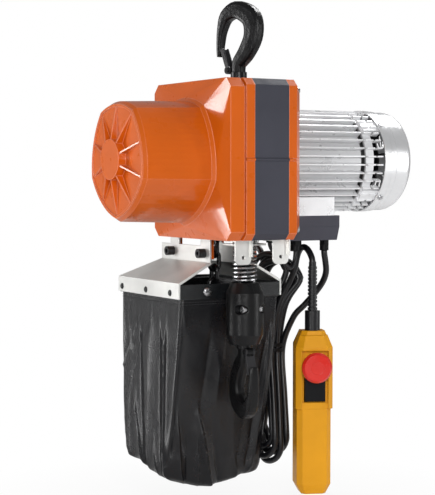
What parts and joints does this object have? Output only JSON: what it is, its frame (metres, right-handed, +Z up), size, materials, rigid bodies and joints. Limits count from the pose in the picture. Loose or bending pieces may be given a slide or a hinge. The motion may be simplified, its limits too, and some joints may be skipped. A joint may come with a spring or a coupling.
{
  "type": "electric chain hoist",
  "caption": "Hook-hung electric chain hoist: finned motor, square gearcase with a faceted nose, single-fall chain to a swivel hook block, chain bag and push-button pendant.",
  "frame": {"origin": "top of the opening of the top hook, on the hook's swivel axis, where the hoist hangs", "axes": "+Z up, against the pull of the load; +X along the motor shaft from the nose to the fan; -Y is the front, where the load chain hangs"},
  "size_m": [0.4405, 0.279, 0.6752],
  "materials": {
    "orange_casting": "die-cast aluminium, semi-gloss orange paint",
    "dark_casting": "die-cast aluminium, fine-textured charcoal paint",
    "silver_casting": "die-cast aluminium, silver paint",
    "silver_sheet": "pressed steel sheet, bright zinc",
    "steel": "turned and ground steel",
    "dark_steel": "black-oxide steel",
    "black_forging": "forged steel, satin black paint",
    "grey_latch": "pressed steel, grey zinc",
    "black_chain": "hardened round steel chain, black",
    "red_winding": "laminated steel with varnished windings",
    "brake_lining": "moulded friction lining",
    "black_plastic": "moulded nylon, matt black",
    "grey_plastic": "moulded plastic, matt dark grey",
    "ivory_plastic": "moulded plastic, ivory",
    "black_frame": "steel band, black powder coat",
    "black_fabric": "coated nylon cloth, black",
    "yellow_plastic": "moulded plastic, yellow",
    "red_plastic": "moulded plastic, red",
    "black_rubber": "rubber cable sheath, black"
  },
  "bodies": {
    "case": {"nose_cover": "orange_casting", "gear_plate": "orange_casting", "gear_housing": "dark_casting", "motor_flange": "orange_casting", "tie_bolts": "steel", "gear_cover": "silver_casting", "cover_screws": "steel", "ball_bearings": "steel", "stator_core": "red_winding", "motor_frame": "silver_casting", "end_shield": "silver_casting", "fan_cover": "silver_sheet", "brake_magnet": "dark_steel", "brake_armature": "steel", "chain_guide": "steel", "stored_chain": "black_chain", "front_tabs": "silver_sheet", "left_bracket": "silver_sheet", "right_bracket": "silver_sheet", "bracket_bolts": "dark_steel", "bag_frame": "black_frame", "chain_bag": "black_fabric", "junction_box": "grey_plastic", "junction_lid": "grey_plastic", "cable_glands": "black_plastic", "electrics": "ivory_plastic", "pendant_front": "yellow_plastic", "pendant_back": "yellow_plastic", "pendant_boot": "black_rubber", "control_cable": "black_rubber", "power_cord": "black_rubber", "cable_hank": "black_rubber", "limit_lead": "black_rubber", "power_plug": "black_rubber"},
    "motor_rotor": {"motor_shaft": "steel", "rotor_core": "dark_steel", "fan": "black_plastic", "brake_disc": "brake_lining"},
    "layshaft": {"layshaft": "steel", "layshaft_gear": "steel"},
    "chain_wheel": {"load_wheel": "steel", "output_gear": "steel", "wheel_chain": "black_chain"},
    "hook_block": {"block_left": "black_forging", "block_right": "black_forging", "block_bolts": "steel", "buffer_spring": "steel", "load_chain": "black_chain"},
    "slack_run": {"slack_chain": "black_chain"},
    "top_hook": {"top_hook": "black_forging", "top_hook_nut": "steel"},
    "top_latch": {"top_latch": "grey_latch", "top_latch_pin": "black_forging"},
    "bottom_hook": {"bottom_hook": "black_forging", "bottom_hook_nut": "steel"},
    "bottom_latch": {"bottom_latch": "grey_latch", "bottom_latch_pin": "black_forging"},
    "limit_plate": {"limit_plate": "silver_sheet"},
    "stop_button": {"stop_button": "red_plastic"},
    "rocker_switch": {"rocker_switch": "black_plastic"}
  },
  "joints": [
    {"name": "top_hook_swivel", "type": "hinge", "parent": "case", "child": "top_hook", "pos_m": [0, 0, -0.08], "axis": [0, 0, 1], "continuous": true},
    {"name": "top_latch_hinge", "type": "hinge", "parent": "top_hook", "child": "top_latch", "pos_m": [-0.00513, 0.01409, -0.069], "axis": [0.9397, 0.342, 0], "range_deg": [0, 30], "stiffness_Nm_per_rad": 0.05, "springref_deg": -17.19},
    {"name": "motor_turn", "type": "hinge", "parent": "case", "child": "motor_rotor", "pos_m": [-0.026, 0.02, -0.19], "axis": [1, 0, 0], "range_deg": [0, 4350]},
    {"name": "layshaft_turn", "type": "hinge", "parent": "case", "child": "layshaft", "pos_m": [-0.026, 0.06243, -0.14757], "axis": [1, 0, 0], "range_deg": [-625, 1]},
    {"name": "wheel_turn", "type": "hinge", "parent": "case", "child": "chain_wheel", "pos_m": [-0.026, 0.02, -0.19], "axis": [1, 0, 0], "range_deg": [-1, 112]},
    {"name": "load_slide", "type": "slide", "parent": "case", "child": "hook_block", "axis": [0, 0, -1], "range_m": [-0.0002, 0.0702]},
    {"name": "slack_slide", "type": "slide", "parent": "case", "child": "slack_run", "axis": [0, 0, 1], "range_m": [-0.0002, 0.0702]},
    {"name": "bottom_hook_swivel", "type": "hinge", "parent": "hook_block", "child": "bottom_hook", "pos_m": [0, -0.016, -0.437], "axis": [0, 0, 1], "continuous": true},
    {"name": "bottom_latch_hinge", "type": "hinge", "parent": "bottom_hook", "child": "bottom_latch", "pos_m": [-0.00209, -0.03085, -0.4463], "axis": [0.9903, -0.1392, 0], "range_deg": [0, 30], "stiffness_Nm_per_rad": 0.05, "springref_deg": -17.19},
    {"name": "limit_slide", "type": "slide", "parent": "case", "child": "limit_plate", "axis": [0, 0, 1], "range_m": [0, 0.006], "stiffness_N_per_m": 300, "springref_m": -0.004},
    {"name": "stop_press", "type": "slide", "parent": "case", "child": "stop_button", "axis": [0.3746, 0.9272, 0], "range_m": [0, 0.003]},
    {"name": "rocker_tilt", "type": "hinge", "parent": "case", "child": "rocker_switch", "pos_m": [0.10953, -0.02055, -0.5065], "axis": [0.9272, -0.3746, 0], "range_deg": [-6, 6], "stiffness_Nm_per_rad": 0.4}
  ],
  "couplings": [
    {"joint": "layshaft_turn", "follows": "motor_turn", "ratio": -0.14286},
    {"joint": "wheel_turn", "follows": "motor_turn", "ratio": 0.02521},
    {"joint": "load_slide", "follows": "motor_turn", "m_per_rad": 0.00091481},
    {"joint": "slack_slide", "follows": "motor_turn", "m_per_rad": 0.00091481}
  ]
}
